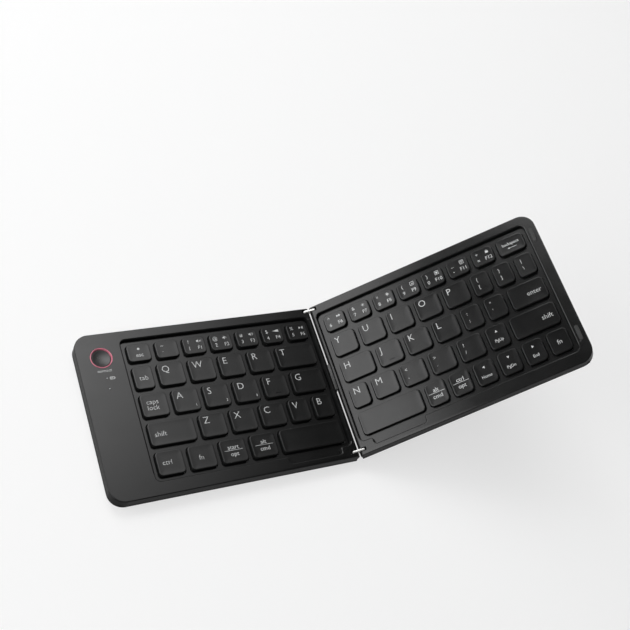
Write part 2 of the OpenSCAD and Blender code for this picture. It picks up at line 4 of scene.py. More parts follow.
import bmesh
import bpy
from mathutils import Matrix, Vector
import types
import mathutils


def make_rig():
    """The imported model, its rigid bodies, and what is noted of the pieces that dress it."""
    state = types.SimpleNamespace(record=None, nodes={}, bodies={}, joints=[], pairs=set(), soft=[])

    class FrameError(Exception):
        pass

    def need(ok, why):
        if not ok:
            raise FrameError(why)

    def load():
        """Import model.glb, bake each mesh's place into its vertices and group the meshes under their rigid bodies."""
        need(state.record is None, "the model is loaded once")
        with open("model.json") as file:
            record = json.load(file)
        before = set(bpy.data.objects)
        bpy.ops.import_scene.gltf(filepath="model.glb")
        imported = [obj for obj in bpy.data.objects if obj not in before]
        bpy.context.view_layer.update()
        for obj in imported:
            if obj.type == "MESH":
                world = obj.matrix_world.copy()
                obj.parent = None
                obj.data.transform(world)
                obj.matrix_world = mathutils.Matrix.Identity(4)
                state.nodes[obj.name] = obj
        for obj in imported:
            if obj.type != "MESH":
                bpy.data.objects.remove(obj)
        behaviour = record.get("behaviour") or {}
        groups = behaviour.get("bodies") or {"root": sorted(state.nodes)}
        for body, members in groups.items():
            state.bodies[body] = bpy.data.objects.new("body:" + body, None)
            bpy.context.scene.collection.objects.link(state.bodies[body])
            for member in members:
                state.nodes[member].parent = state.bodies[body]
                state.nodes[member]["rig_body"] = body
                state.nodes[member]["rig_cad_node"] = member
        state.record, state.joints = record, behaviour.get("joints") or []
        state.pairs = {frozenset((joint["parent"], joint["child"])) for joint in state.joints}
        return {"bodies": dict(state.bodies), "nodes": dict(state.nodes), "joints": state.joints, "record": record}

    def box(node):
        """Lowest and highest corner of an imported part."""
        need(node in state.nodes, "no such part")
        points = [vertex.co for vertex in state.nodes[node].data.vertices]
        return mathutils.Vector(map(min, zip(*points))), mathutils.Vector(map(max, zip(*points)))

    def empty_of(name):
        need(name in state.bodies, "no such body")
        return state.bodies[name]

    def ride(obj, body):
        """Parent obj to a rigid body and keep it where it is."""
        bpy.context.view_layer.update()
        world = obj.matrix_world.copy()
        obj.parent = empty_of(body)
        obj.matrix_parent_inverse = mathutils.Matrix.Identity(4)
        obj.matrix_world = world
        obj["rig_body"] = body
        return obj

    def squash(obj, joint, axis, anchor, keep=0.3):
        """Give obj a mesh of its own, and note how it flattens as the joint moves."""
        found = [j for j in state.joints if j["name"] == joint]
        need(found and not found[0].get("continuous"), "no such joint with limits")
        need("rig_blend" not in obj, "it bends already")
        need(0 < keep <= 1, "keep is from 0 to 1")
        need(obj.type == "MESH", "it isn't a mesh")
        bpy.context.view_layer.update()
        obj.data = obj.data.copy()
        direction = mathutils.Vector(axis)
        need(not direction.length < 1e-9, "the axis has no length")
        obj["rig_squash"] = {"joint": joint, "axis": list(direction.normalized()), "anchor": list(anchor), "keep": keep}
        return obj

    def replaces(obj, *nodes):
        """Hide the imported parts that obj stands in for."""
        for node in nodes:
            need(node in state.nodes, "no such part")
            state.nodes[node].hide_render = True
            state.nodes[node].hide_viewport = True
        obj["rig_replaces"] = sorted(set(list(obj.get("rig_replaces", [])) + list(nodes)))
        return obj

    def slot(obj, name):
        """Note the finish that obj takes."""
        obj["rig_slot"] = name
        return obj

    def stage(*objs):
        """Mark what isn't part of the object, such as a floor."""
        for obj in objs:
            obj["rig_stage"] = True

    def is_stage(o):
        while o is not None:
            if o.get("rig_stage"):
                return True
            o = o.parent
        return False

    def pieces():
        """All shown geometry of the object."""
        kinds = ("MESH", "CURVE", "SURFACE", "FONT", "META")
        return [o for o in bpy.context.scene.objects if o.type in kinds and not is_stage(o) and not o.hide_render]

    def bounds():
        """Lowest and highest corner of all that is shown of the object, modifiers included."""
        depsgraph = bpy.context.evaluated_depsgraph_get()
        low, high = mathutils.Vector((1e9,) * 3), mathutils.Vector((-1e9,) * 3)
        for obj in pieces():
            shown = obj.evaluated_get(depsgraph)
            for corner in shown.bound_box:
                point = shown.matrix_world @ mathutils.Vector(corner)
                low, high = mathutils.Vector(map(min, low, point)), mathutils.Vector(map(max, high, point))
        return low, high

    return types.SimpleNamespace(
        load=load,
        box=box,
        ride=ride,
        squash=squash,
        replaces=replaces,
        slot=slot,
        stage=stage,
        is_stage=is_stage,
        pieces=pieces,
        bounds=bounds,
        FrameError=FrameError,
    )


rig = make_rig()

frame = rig.load()
cad_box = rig.bounds()
scene = bpy.context.scene

# ------------------------------------------------------------------------------------------
# Viewpoint. The keyboard lies open on a table and is seen from above its left front corner,
# with the camera rolled so that its long side climbs from the lower left to the upper right.
# ------------------------------------------------------------------------------------------
eye = Vector((-0.27201, -0.22568, 0.53731))
aim = Vector((0.05145, 0.06325, 0.00400))
roll = math.radians(34.504)
lens_mm = 62.226
off_centre = (-0.060, -0.046)

camera = bpy.data.objects.new("viewpoint", bpy.data.cameras.new("viewpoint"))
camera.data.lens = lens_mm
camera.data.clip_start = 0.01
camera.data.shift_x, camera.data.shift_y = off_centre
turn = (aim - eye).to_track_quat("-Z", "Y").to_matrix().to_4x4()
camera.matrix_world = Matrix.Translation(eye) @ turn @ Matrix.Rotation(roll, 4, "Z")
scene.collection.objects.link(camera)
scene.camera = camera
scene.view_settings.view_transform = "Standard"

# ------------------------------------------------------------------------------------------
# Table and studio light. A pale seamless sheet that curves up far away, a round soft box that is
# brightest in its middle, a long one behind and one at the left, with a dim room round them.
# ------------------------------------------------------------------------------------------
table_reach = 4.0
flat_reach = 2.4
backdrop_rise = 1.6
table_colour = (0.90, 0.90, 0.90, 1)
table_white = 0.65
room_glow = 0.03

sheet = bmesh.new()
bmesh.ops.create_grid(sheet, x_segments=40, y_segments=40, size=table_reach)
for v in sheet.verts:
    beyond = max(v.co.xy.length - flat_reach, 0) / (table_reach - flat_reach)
    v.co.z = backdrop_rise * beyond ** 2
table_mesh = bpy.data.meshes.new("table")
sheet.to_mesh(table_mesh)
sheet.free()
table_mesh.shade_smooth()
table = bpy.data.objects.new("table", table_mesh)
scene.collection.objects.link(table)
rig.stage(table)

pale = bpy.data.materials.new("pale_table")
pale.use_nodes = True
pale_shader = pale.node_tree.nodes["Principled BSDF"]
pale_shader.inputs["Base Color"].default_value = table_colour
pale_shader.inputs["Roughness"].default_value = 0.9
pale_shader.inputs["Specular IOR Level"].default_value = 0.1
pale_nodes, pale_links = pale.node_tree.nodes, pale.node_tree.links
ray = pale_nodes.new("ShaderNodeLightPath")
seen = ray.outputs["Is Camera Ray"]
for other in ("Is Glossy Ray", "Is Transmission Ray"):
    either = pale_nodes.new("ShaderNodeMath")
    either.operation = "MAXIMUM"
    pale_links.new(seen, either.inputs[0])
    pale_links.new(ray.outputs[other], either.inputs[1])
    seen = either.outputs["Value"]
share = pale_nodes.new("ShaderNodeMath")
share.operation = "MULTIPLY"
share.inputs[1].default_value = table_white
pale_links.new(seen, share.inputs[0])
white = pale_nodes.new("ShaderNodeEmission")
blend = pale_nodes.new("ShaderNodeMixShader")
pale_links.new(share.outputs["Value"], blend.inputs["Fac"])
pale_links.new(pale_shader.outputs["BSDF"], blend.inputs[1])
pale_links.new(white.outputs["Emission"], blend.inputs[2])
pale_links.new(blend.outputs["Shader"], pale_nodes["Material Output"].inputs["Surface"])
table_mesh.materials.append(pale)

room = bpy.data.worlds.new("room")
room.use_nodes = True
room.node_tree.nodes["Background"].inputs["Color"].default_value = (1, 1, 1, 1)
room.node_tree.nodes["Background"].inputs["Strength"].default_value = room_glow
scene.world = room


def soft_box(name, place, towards, width, length, brightness):
    """A flat lamp of even brightness, turned to face a point."""
    lamp = bpy.data.lights.new(name, "AREA")
    lamp.shape = "RECTANGLE"
    lamp.size = width
    lamp.size_y = length
    lamp.energy = brightness * math.pi * width * length
    box = bpy.data.objects.new(name, lamp)
    facing = (Vector(towards) - Vector(place)).to_track_quat("-Z", "Y").to_matrix().to_4x4()
    box.matrix_world = Matrix.Translation(place) @ facing
    scene.collection.objects.link(box)
    return lamp


def fade_to_rim(lamp, core, power):
    """Lets a square lamp fall off from an even core, a share of its width, to nothing."""
    lamp.use_nodes = True
    nodes, links = lamp.node_tree.nodes, lamp.node_tree.links
    place = nodes.new("ShaderNodeNewGeometry")
    middle = nodes.new("ShaderNodeVectorMath")
    middle.operation = "DISTANCE"
    middle.inputs[1].default_value = (0.5, 0.5, 0.0)
    fall = nodes.new("ShaderNodeMapRange")
    fall.inputs["From Min"].default_value = core / 2
    fall.inputs["From Max"].default_value = 0.5
    fall.inputs["To Min"].default_value = 1.0
    fall.inputs["To Max"].default_value = 0.0
    bend = nodes.new("ShaderNodeMath")
    bend.operation = "POWER"
    bend.inputs[1].default_value = power
    links.new(place.outputs["Parametric"], middle.inputs[0])
    links.new(middle.outputs["Value"], fall.inputs["Value"])
    links.new(fall.outputs["Result"], bend.inputs[0])
    links.new(bend.outputs["Value"], nodes["Emission"].inputs["Strength"])


round_lamp = soft_box("round_box", (0.0, 0.79, 1.26), (0.0, 0.79, 0.0), 1.47, 1.47, 4.5)
fade_to_rim(round_lamp, 0.286, 1.5)
soft_box("back_box", (-0.455, 1.68, 1.20), (-0.455, 1.68, 0.0), 0.41, 2.03, 5.6)
soft_box("left_box", (-1.18, 0.13, 0.70), (0.0, 0.0, 0.04), 1.70, 0.89, 3.6)

# ------------------------------------------------------------------------------------------
# Where each half lies. Shapes are drawn flat in millimetres: x from the middle of the hinge,
# y from the front edge, z from the table; the right half is then swung up on its hinge axis.
# ------------------------------------------------------------------------------------------
mm = 0.001
joints = {joint["name"]: joint for joint in frame["joints"]}
left_axis = Vector(joints["left_fold"]["pos_m"])
right_axis = Vector(joints["right_fold"]["pos_m"])
link_tilt = math.atan2(right_axis.z - left_axis.z, right_axis.x - left_axis.x)
axis_u = (right_axis - left_axis).length / 2 / mm
axis_z = left_axis.z / mm
front_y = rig.box("left_rim")[0].y
depth = (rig.box("left_rim")[1].y - front_y) / mm
top_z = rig.box("left_rim")[1].z / mm
part_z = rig.box("left_rim")[0].z / mm
half_w = (left_axis.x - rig.box("left_rim")[0].x) / mm + axis_u
corner_r = 8.5

to_mm = Matrix.Scale(mm, 4)
flat = {
    "left": Matrix.Translation((left_axis.x + axis_u * mm, front_y, 0)) @ to_mm,
    "link": Matrix.Translation(((left_axis.x + right_axis.x) / 2, front_y,
                                (left_axis.z + right_axis.z) / 2))
    @ Matrix.Rotation(-link_tilt, 4, "Y") @ Matrix.Translation((0, 0, -axis_z * mm)) @ to_mm,
    "right": Matrix.Translation((right_axis.x, front_y, right_axis.z))
    @ Matrix.Rotation(-2 * link_tilt, 4, "Y")
    @ Matrix.Translation((-axis_u * mm, 0, -axis_z * mm)) @ to_mm,
}
body_of = {"left": "left_half", "link": "hinge_link", "right": "right_half"}
up_of = {side: (flat[side].to_3x3() @ Vector((0, 0, 1))).normalized() for side in flat}


def add_piece(name, bm, body, finish, slot=None, stands_for=(), crisp_deg=35):
    """Makes a finished mesh, already in place, into a piece that rides on its body."""
    bmesh.ops.recalc_face_normals(bm, faces=bm.faces)
    mesh = bpy.data.meshes.new(name)
    bm.to_mesh(mesh)
    bm.free()
    mesh.shade_smooth()
    mesh.set_sharp_from_angle(angle=math.radians(crisp_deg))
    piece = bpy.data.objects.new(name, mesh)
    scene.collection.objects.link(piece)
    mesh.materials.append(finish)
    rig.ride(piece, body)
    if slot:
        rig.slot(piece, slot)
    if stands_for:
        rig.replaces(piece, *stands_for)
    return piece


def on_outline(u, y, inset=0.0, near=0.05):
    """Whether a point of a half's plan lies on its outer edge, or on a line that far inside
    it, hinge side left out."""
    if u > half_w - corner_r and not corner_r < y < depth - corner_r:
        centre_y = corner_r if y < corner_r else depth - corner_r
        off_centre_r = math.hypot(u - half_w + corner_r, y - centre_y)
        return abs(off_centre_r - (corner_r - inset)) < near + 0.05
    return min(abs(y - inset), abs(depth - inset - y), abs(half_w - inset - u)) < near


def softened(name, node, side, rounding, segments, finish, slot):
    """A moulded shell on the node's own faces, with the rounding that its mould has on each
    crisp edge: rounding(u, y, z) gives the radius in mm for the middle of an edge."""
    bm = bmesh.new()
    bm.from_mesh(frame["nodes"][node].data)
    bmesh.ops.remove_doubles(bm, verts=bm.verts, dist=1e-7)
    bmesh.ops.dissolve_limit(bm, angle_limit=math.radians(1), verts=bm.verts, edges=bm.edges)
    weight = bm.edges.layers.float.new("bevel_weight_edge")
    back = flat[side].inverted()
    radii = {}
    for edge in bm.edges:
        if len(edge.link_faces) == 2 and edge.calc_face_angle() > math.radians(25):
            p = back @ ((edge.verts[0].co + edge.verts[1].co) / 2)
            radii[edge] = rounding(abs(p.x), p.y, p.z)
    largest = max(radii.values())
    for edge, radius in radii.items():
        edge[weight] = radius / largest
    piece = add_piece(name, bm, body_of[side], finish, slot, (node,), 25)
    bevel = piece.modifiers.new("mould_rounding", "BEVEL")
    bevel.limit_method = "WEIGHT"
    bevel.width = largest * mm
    bevel.segments = segments
    bevel.use_clamp_overlap = False
    bevel.harden_normals = True
    return piece


# ------------------------------------------------------------------------------------------
# Bottom shells. A shallow tray under each half, moulded in matte black plastic with a sloped
# edge on three sides, fine spark texture outside and counterbores for the case screws.
# ------------------------------------------------------------------------------------------
# Painted light and shade on the walls of the shells, decks and caps: walls keep only this much shine, which paints
# their reflections darker, and take a colour this many times paler, which paints them lighter.
painted_shade_wall_shine = 0.012
painted_light_wall_pale = 3.0


def finish(name, colour, roughness, grain_mm, depth_share, drift=0.12, smear=0.03, metallic=0.0,
           coat=0.0, shine=0.5, stretch=(1, 1, 1), up=None):
    """A surface with a fine grain in its bump, slow drift in its colour and handling marks in
    its gloss. A stretch draws the grain out along one direction, as brushing does. Where up is
    given, walls that stand along it get painted light and shade: a dimmed shine that paints
    their reflections darker and a paler colour that paints them lighter."""
    material = bpy.data.materials.new(name)
    material.use_nodes = True
    nodes, links = material.node_tree.nodes, material.node_tree.links
    shader = nodes["Principled BSDF"]
    shader.inputs["Metallic"].default_value = metallic
    shader.inputs["Specular IOR Level"].default_value = shine
    shader.inputs["Coat Weight"].default_value = coat
    shader.inputs["Coat Roughness"].default_value = 0.08
    where = nodes.new("ShaderNodeTexCoord")
    along = nodes.new("ShaderNodeMapping")
    along.inputs["Scale"].default_value = stretch
    links.new(where.outputs["Object"], along.inputs["Vector"])

    cloud = nodes.new("ShaderNodeTexNoise")
    cloud.inputs["Scale"].default_value = 28
    cloud.inputs["Detail"].default_value = 4
    shade = nodes.new("ShaderNodeMix")
    shade.data_type = "RGBA"
    shade.inputs["A"].default_value = [c * (1 - drift) for c in colour] + [1]
    shade.inputs["B"].default_value = [min(1, c * (1 + drift)) for c in colour] + [1]
    links.new(where.outputs["Object"], cloud.inputs["Vector"])
    links.new(cloud.outputs["Fac"], shade.inputs["Factor"])
    links.new(shade.outputs["Result"], shader.inputs["Base Color"])

    marks = nodes.new("ShaderNodeTexNoise")
    marks.inputs["Scale"].default_value = 60
    marks.inputs["Detail"].default_value = 5
    marks.inputs["Distortion"].default_value = 0.6
    gloss = nodes.new("ShaderNodeMapRange")
    gloss.inputs["From Min"].default_value = 0.3
    gloss.inputs["From Max"].default_value = 0.7
    gloss.inputs["To Min"].default_value = max(0.02, roughness - smear)
    gloss.inputs["To Max"].default_value = roughness + smear
    links.new(along.outputs["Vector"], marks.inputs["Vector"])
    links.new(marks.outputs["Fac"], gloss.inputs["Value"])
    links.new(gloss.outputs["Result"], shader.inputs["Roughness"])

    grain = nodes.new("ShaderNodeTexVoronoi")
    grain.inputs["Scale"].default_value = 1 / (grain_mm * mm)
    bump = nodes.new("ShaderNodeBump")
    bump.inputs["Strength"].default_value = depth_share
    bump.inputs["Distance"].default_value = grain_mm * mm * 0.2
    links.new(along.outputs["Vector"], grain.inputs["Vector"])
    links.new(grain.outputs["Distance"], bump.inputs["Height"])
    links.new(bump.outputs["Normal"], shader.inputs["Normal"])

    # Painted light and shade: faces that stand along up get a dimmed shine and a paler colour, set by which way they
    # face.
    if up:
        facing = nodes.new("ShaderNodeVectorMath")
        facing.operation = "DOT_PRODUCT"
        facing.inputs[1].default_value = up
        level = nodes.new("ShaderNodeMath")
        level.operation = "ABSOLUTE"
        wall = nodes.new("ShaderNodeMapRange")
        wall.inputs["From Min"].default_value = 0.85
        wall.inputs["From Max"].default_value = 0.55
        links.new(where.outputs["Normal"], facing.inputs[0])
        links.new(facing.outputs["Value"], level.inputs[0])
        links.new(level.outputs["Value"], wall.inputs["Value"])
        # Painted shade: less shine on the walls darkens their reflections.
        painted_shade_dimmer = nodes.new("ShaderNodeMapRange")
        painted_shade_dimmer.inputs["To Min"].default_value = shine
        painted_shade_dimmer.inputs["To Max"].default_value = painted_shade_wall_shine
        links.new(wall.outputs["Result"], painted_shade_dimmer.inputs["Value"])
        links.new(painted_shade_dimmer.outputs["Result"], shader.inputs["Specular IOR Level"])
        # Painted light: a paler colour on the walls lightens them.
        painted_light_paler = nodes.new("ShaderNodeMix")
        painted_light_paler.data_type = "RGBA"
        painted_light_paler.inputs["B"].default_value = [c * painted_light_wall_pale for c in colour] + [1]
        links.new(wall.outputs["Result"], painted_light_paler.inputs["Factor"])
        links.new(shade.outputs["Result"], painted_light_paler.inputs["A"])
        links.new(painted_light_paler.outputs["Result"], shader.inputs["Base Color"])
    return material


# The up direction gives the walls of these shells painted light and shade.
bottom_plastic = {side: finish(side + "_bottom_plastic", (0.0055, 0.0056, 0.0057), 0.55, 0.35, 0.5,
                               shine=0.25, up=up_of[side]) for side in ("left", "right")}
bottom_slope = 0.8


def bottom_rounding(u, y, z):
    """A hair line at the seam and a softer foot of the slope; screw holes stay crisp."""
    if on_outline(u, y):
        return 0.12 if z > part_z - 0.15 else 0.0
    return 0.3 if z < part_z - 2 and on_outline(u, y, bottom_slope, 0.1) else 0.0


for side in ("left", "right"):
    softened(side + "_bottom_shell", side + "_base", side, bottom_rounding, 3,
             bottom_plastic[side], "case_bottom")

# ------------------------------------------------------------------------------------------
# Feet. Four soft black rubber pads under each half, stadium shaped with a rounded sole, set
# with adhesive in shallow pockets of the bottom shell.
# ------------------------------------------------------------------------------------------
foot_rubber = finish("foot_rubber", (0.016, 0.016, 0.0165), 0.72, 0.25, 0.6, 0.2, 0.08)
foot_sole_r = 0.3
foot_u = (7.5, 134.0)
foot_in = 14.0
foot_w, foot_l, foot_top = 4.8, 13.8, 0.8


def rounded_loop(w, d, r, inset, z, steps=6):
    """One closed row of points round a w by d rectangle with corners of radius r."""
    radius = max(r - inset, 0.02)
    points = []
    for k, (sx, sy) in enumerate(((1, 1), (-1, 1), (-1, -1), (1, -1))):
        cx = sx * (w / 2 - inset - radius)
        cy = sy * (d / 2 - inset - radius)
        for i in range(steps + 1):
            a = math.pi / 2 * (k + i / steps)
            points.append((cx + radius * math.cos(a), cy + radius * math.sin(a), z))
    return points


def stack_loops(bm, loops, centre=(0, 0, 0), ring=False):
    """A closed solid through rows of points that follow each other. Its two ends are flat, or
    on a ring the last row joins the first."""
    rows = [[bm.verts.new(Vector(p) + Vector(centre)) for p in loop] for loop in loops]
    for low, high in zip(rows, rows[1:] + rows[:1] if ring else rows[1:]):
        for i in range(len(low)):
            j = (i + 1) % len(low)
            bm.faces.new((low[i], low[j], high[j], high[i]))
    if not ring:
        bm.faces.new(rows[0][::-1])
        bm.faces.new(rows[-1])


def soft_block(bm, centre, w, d, r, z_flat, z_soft, edge, steps=4):
    """A rounded block between two heights whose edge is rounded at z_soft."""
    up = 1 if z_soft > z_flat else -1
    loops = [rounded_loop(w, d, r, 0, z_flat)]
    for i in range(steps + 1):
        a = math.pi / 2 * i / steps
        inset = edge * (1 - math.cos(a))
        loops.append(rounded_loop(w, d, r, inset, z_soft - up * edge * (1 - math.sin(a))))
    loops.append(rounded_loop(w, d, r, 1.5 * edge, z_soft))
    stack_loops(bm, loops, (*centre, 0))


for side, out in (("left", -1), ("right", 1)):
    soles = bmesh.new()
    for u in foot_u:
        for y in (foot_in, depth - foot_in):
            soft_block(soles, (out * u, y), foot_w, foot_l, 2.35, foot_top, 0.0, foot_sole_r)
    soles.transform(flat[side])
    add_piece(side + "_rubber_feet", soles, body_of[side], foot_rubber, "foot_rubber",
              (side + "_feet",))

# ------------------------------------------------------------------------------------------
# Inside the case. Steel back plates, printed contact sheets, silicone domes and nylon guides
# under the keys; the board, battery and charging socket fill the strip at the left.
# ------------------------------------------------------------------------------------------


def dress(node, material):
    """Gives a piece that keeps its CAD shape its real surface."""
    target = frame["nodes"][node]
    target.data.materials.clear()
    target.data.materials.append(material)


def circuit_board():
    """Green solder mask over a faint net of copper tracks."""
    material = finish("solder_mask", (0.012, 0.085, 0.035), 0.35, 0.4, 0.2, 0.1)
    nodes, links = material.node_tree.nodes, material.node_tree.links
    tracks = nodes.new("ShaderNodeTexBrick")
    tracks.inputs["Scale"].default_value = 420
    tracks.inputs["Mortar Size"].default_value = 0.03
    tracks.inputs["Color1"].default_value = (0.012, 0.085, 0.035, 1)
    tracks.inputs["Color2"].default_value = (0.014, 0.095, 0.038, 1)
    tracks.inputs["Mortar"].default_value = (0.05, 0.17, 0.06, 1)
    where = next(n for n in nodes if n.type == "TEX_COORD")
    links.new(where.outputs["Object"], tracks.inputs["Vector"])
    links.new(tracks.outputs["Color"], nodes["Principled BSDF"].inputs["Base Color"])
    return material


back_plate_steel = finish("back_plate_steel", (0.56, 0.57, 0.58), 0.34, 0.5, 0.3, 0.06, 0.06,
                          metallic=1.0, stretch=(1, 14, 1))
contact_sheet = finish("contact_sheet", (0.030, 0.030, 0.031), 0.4, 0.6, 0.15)
dome_silicone = finish("dome_silicone", (0.035, 0.036, 0.037), 0.6, 0.3, 0.3)
guide_nylon = finish("guide_nylon", (0.045, 0.046, 0.047), 0.45, 0.3, 0.3)
cell_foil = finish("cell_foil", (0.42, 0.43, 0.45), 0.42, 0.9, 0.6, 0.08, 0.08, metallic=1.0)
plated_steel = finish("plated_steel", (0.52, 0.52, 0.53), 0.28, 0.3, 0.3, 0.06, 0.06,
                      metallic=1.0)
for side in ("left", "right"):
    dress(side + "_backplate", back_plate_steel)
    dress(side + "_membrane", contact_sheet)
    dress(side + "_domes", dome_silicone)
    dress(side + "_scissors", guide_nylon)
dress("main_board", circuit_board())
dress("battery", cell_foil)
dress("wake_magnet", plated_steel)

# ------------------------------------------------------------------------------------------
# Upper shells. The frame round each key field, moulded in satin black plastic: rounded over
# along its outer edge, rolled down at the hinge, and left plain in a strip at the far left.
# ------------------------------------------------------------------------------------------
# The up direction gives the walls of these shells painted light and shade.
top_plastic = {side: finish(side + "_top_plastic", (0.0045, 0.0046, 0.0046), 0.19, 0.22, 0.06,
                            smear=0.02, shine=0.4, up=up_of[side]) for side in ("left", "right")}
shoulder_r = 0.45
recess_edge_r = 0.70
cut_edge_r = 0.12
recess_out = {"left": 119.0, "right": 137.9}
field_u, field_y = 3.3, (7.3, 92.4)
thumb_u, thumb_y = (8.0, 46.0), (3.3, 7.4)


def rim_rounding(u, y, z):
    """The shoulder outside, a softer lip round the key field of the half that is being made,
    fine edges at the cuts."""
    if on_outline(u, y):
        return cut_edge_r if z < part_z + 0.1 else shoulder_r
    by_keys = field_u < u < recess_out[side] + 0.1 and field_y[0] < y < field_y[1]
    by_thumbs = thumb_u[0] < u < thumb_u[1] and thumb_y[0] < y < thumb_y[1]
    if z > top_z - 0.02:
        return recess_edge_r if by_keys or by_thumbs else cut_edge_r
    return 0.0


for side in ("left", "right"):
    softened(side + "_top_shell", side + "_rim", side, rim_rounding, 4, top_plastic[side],
             "case_top")

# ------------------------------------------------------------------------------------------
# Key decks. A thin plate in each half, moulded in the same black plastic and pressed in from
# below, with one window for each key cap.
# ------------------------------------------------------------------------------------------
# The up direction gives the walls of these decks painted light and shade.
deck_plastic = {side: finish(side + "_deck_plastic", (0.0042, 0.0043, 0.0043), 0.20, 0.22, 0.06,
                             smear=0.02, shine=0.4, up=up_of[side]) for side in ("left", "right")}
deck_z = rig.box("left_deck")[1].z / mm


def deck_rounding(u, y, z):
    """A fine radius round the top of each window."""
    return 0.15 if z > deck_z - 0.05 else 0.0


for side in ("left", "right"):
    softened(side + "_key_deck", side + "_deck", side, deck_rounding, 2, deck_plastic[side],
             "key_deck")

# ------------------------------------------------------------------------------------------
# Ring and round button. A pink-red ring is pressed into the strip at the left and stands a
# little proud; in it sits a glossy black button with a dished top that clicks a switch below.
# ------------------------------------------------------------------------------------------
ring_red = finish("ring_red", (0.64, 0.18, 0.25), 0.28, 0.2, 0.08, 0.06, coat=0.4)
button_gloss = finish("button_gloss", (0.0060, 0.0056, 0.0058), 0.26, 0.3, 0.05, 0.1)
button_at = (-131.2, 83.0)
ring_profile = [(6.13, -1.4), (6.13, 0.0), (6.09, 0.09), (6.0, 0.16), (5.87, 0.2), (5.74, 0.18),
                (5.63, 0.1), (5.56, -0.02), (5.46, -0.3), (5.36, -0.8), (5.32, -1.4)]
button_edge = -0.5
dish_depth = 0.45


def turned(profile, lift=0.0, steps=72):
    """Rows of points round a middle, one row for each (radius, height) of a profile."""
    turns = [2 * math.pi * i / steps for i in range(steps)]
    return [[(r * math.cos(a), r * math.sin(a), z + lift) for a in turns] for r, z in profile]


ring = bmesh.new()
stack_loops(ring, turned(ring_profile, top_z), (*button_at, 0), ring=True)
ring.transform(flat["left"])
add_piece("round_button_ring", ring, "left_half", ring_red, "ring_red", ("button_ring",))

button_profile = [(5.6, -2.15), (5.8, -2.0), (5.8, -1.65), (5.7, -1.55), (5.2, -1.55), (5.2, -0.8)]
for i in range(1, 6):
    a = math.pi / 2 * i / 5
    button_profile.append((4.9 + 0.3 * math.cos(a), button_edge - 0.3 * (1 - math.sin(a))))
for share in (0.97, 0.85, 0.72, 0.58, 0.44, 0.3, 0.16, 0.04):
    button_profile.append((4.85 * share, button_edge - dish_depth * (1 - share ** 2)))
button = bmesh.new()
stack_loops(button, turned(button_profile, top_z), (*button_at, 0))
button.transform(flat["left"])
add_piece("round_button", button, "round_button", button_gloss, "button_gloss",
          ("connect_button",))

# ------------------------------------------------------------------------------------------
# Lamp lenses. Two rods of milky plastic under the button bring the light of the board's lamps
# up through the shell; their domed ends lie just below its surface.
# ------------------------------------------------------------------------------------------
milky_clear = finish("milky_clear", (0.34, 0.35, 0.36), 0.16, 0.3, 0.05)
lens_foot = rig.box("indicator_lenses")[0].z / mm
lens_x, lens_y = -130.8, (70.6, 64.2)
lens_profile = [(0.40, lens_foot), (0.45, lens_foot + 0.1), (0.45, top_z - 0.16),
                (0.38, top_z - 0.09), (0.22, top_z - 0.06), (0.05, top_z - 0.05)]
lenses = bmesh.new()
for y in lens_y:
    stack_loops(lenses, turned(lens_profile, 0.0, 24), (lens_x, y, 0))
lenses.transform(flat["left"])
add_piece("lamp_lenses", lenses, "left_half", milky_clear, "lamp_lens", ("indicator_lenses",))

# ------------------------------------------------------------------------------------------
# Link bars, shafts and brackets. Two polished steel bars bridge the gap; each turns on two
# ground steel shafts that run into friction barrels screwed under the two halves.
# ------------------------------------------------------------------------------------------
link_chrome = finish("link_chrome", (0.42, 0.42, 0.41), 0.34, 0.25, 0.3, 0.05, 0.08,
                     metallic=1.0, stretch=(1, 0.2, 1))
shaft_steel = finish("shaft_steel", (0.55, 0.56, 0.56), 0.3, 0.2, 0.2, 0.05, 0.05, metallic=1.0)
bracket_steel = finish("bracket_steel", (0.38, 0.39, 0.40), 0.4, 0.4, 0.3, 0.08, 0.06,
                       metallic=1.0)
bar_y = {"front": 3.2, "back": depth - 2.0}
bar_len, bar_w, bar_top, bar_top_r = 7.6, 1.6, 2.0, 0.6
bar_low = bar_len / 2 - axis_u


def bar_outline(inset, y):
    """One row round a link bar seen from the front: round below, flatter on top."""
    upper = bar_len / 2 - bar_top_r
    corners = ((axis_u, 0, bar_low, -90), (upper, bar_top - bar_top_r, bar_top_r, 0),
               (-upper, bar_top - bar_top_r, bar_top_r, 90), (-axis_u, 0, bar_low, 180))
    points = []
    for x, z, r, start in corners:
        for i in range(7):
            a = math.radians(start + 15 * i)
            reach = r - inset
            points.append((x + reach * math.cos(a), y, axis_z + z + reach * math.sin(a)))
    return points


bar_edges = ((-0.5 * bar_w, 0.4), (-0.5 * bar_w, 0.22), (-0.5 * bar_w + 0.06, 0.07),
             (-0.5 * bar_w + 0.22, 0.0), (0.5 * bar_w - 0.22, 0.0), (0.5 * bar_w - 0.06, 0.07),
             (0.5 * bar_w, 0.22), (0.5 * bar_w, 0.4))
for place, middle in bar_y.items():
    bar = bmesh.new()
    stack_loops(bar, [bar_outline(inset, middle + off) for off, inset in bar_edges])
    bar.transform(flat["link"])
    add_piece(place + "_bar", bar, "hinge_link", link_chrome, "link_chrome",
              (place + "_link_bar",))

